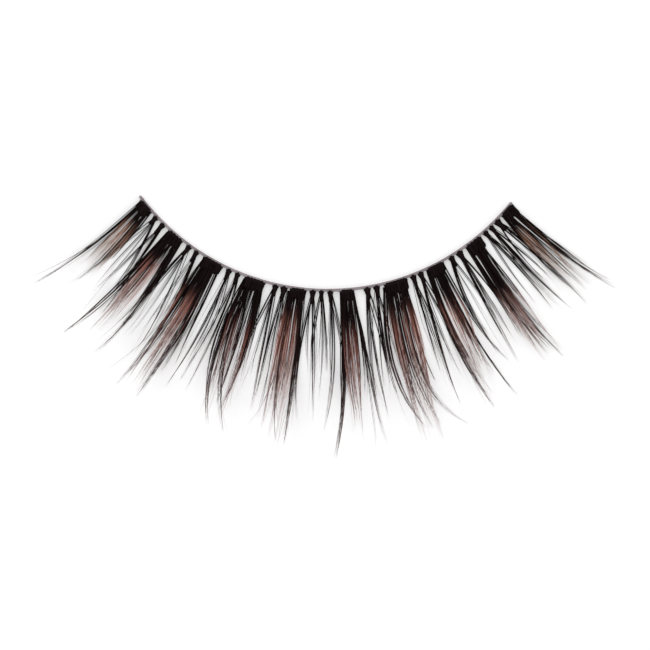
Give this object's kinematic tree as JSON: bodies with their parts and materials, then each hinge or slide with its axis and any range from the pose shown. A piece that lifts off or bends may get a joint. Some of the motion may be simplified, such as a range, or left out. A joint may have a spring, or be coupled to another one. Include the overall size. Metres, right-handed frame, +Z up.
{
  "type": "false eyelash strip",
  "caption": "False eyelash strip: a thin clear curved band with knotted clusters of black and brown fibre hair that fans outwards and curls up.",
  "frame": {"origin": "on the surface that the strip lies on, in the middle of its footprint", "axes": "+X along the strip towards the picture's right, -Y the way the hair points, +Z up"},
  "size_m": [0.0434, 0.0196, 0.0043],
  "materials": {
    "clear_band": "thin clear film with a faint mauve grey cast, satin",
    "brown_black_fibre": "synthetic hair, black at the root, reddish brown in the middle and paler at the tips, with a soft sheen",
    "black_fibre": "thin synthetic hair, black, with a soft sheen"
  },
  "bodies": {
    "root": {"band": "clear_band", "main_cluster_01": "brown_black_fibre", "main_cluster_02": "brown_black_fibre", "main_cluster_03": "brown_black_fibre", "main_cluster_04": "brown_black_fibre", "main_cluster_05": "brown_black_fibre", "main_cluster_06": "brown_black_fibre", "main_cluster_07": "brown_black_fibre", "main_cluster_08": "brown_black_fibre", "main_cluster_09": "brown_black_fibre", "main_cluster_10": "brown_black_fibre", "fine_cluster_01": "black_fibre", "fine_cluster_02": "black_fibre", "fine_cluster_03": "black_fibre", "fine_cluster_04": "black_fibre", "fine_cluster_05": "black_fibre", "fine_cluster_06": "black_fibre", "fine_cluster_07": "black_fibre", "fine_cluster_08": "black_fibre", "fine_cluster_09": "black_fibre", "fine_cluster_10": "black_fibre", "fine_cluster_11": "black_fibre", "fine_cluster_12": "black_fibre", "fine_cluster_13": "black_fibre", "fine_cluster_14": "black_fibre", "fine_cluster_15": "black_fibre", "fine_cluster_16": "black_fibre", "fine_cluster_17": "black_fibre", "fine_cluster_18": "black_fibre", "fine_cluster_19": "black_fibre", "fine_cluster_20": "black_fibre"}
  },
  "joints": []
}
